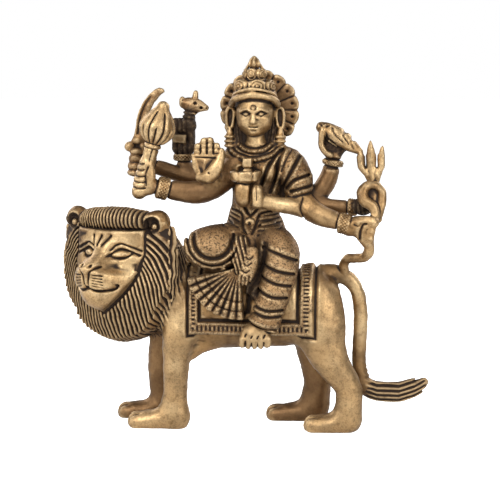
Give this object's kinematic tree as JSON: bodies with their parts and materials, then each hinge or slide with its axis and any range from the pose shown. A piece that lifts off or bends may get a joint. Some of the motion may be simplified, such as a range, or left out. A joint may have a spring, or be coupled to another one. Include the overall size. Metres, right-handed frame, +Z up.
{
  "type": "durga figure",
  "caption": "Cast brass table-top figure of an eight-armed goddess seated sideways on a standing lion, with a halo, held emblems and a saddle cloth.",
  "frame": {"origin": "middle of the figure's outline seen from above, on the ground under its paws", "axes": "+Z up, +X along the lion from its head to its tail, the goddess and the lion face -Y"},
  "size_m": [0.1777, 0.051, 0.178],
  "materials": {
    "aged_brass": "antique brass: high places worn bright and smooth, hollows and grooves dark brown to black"
  },
  "bodies": {
    "root": {"durga_on_lion": "aged_brass"}
  },
  "joints": []
}
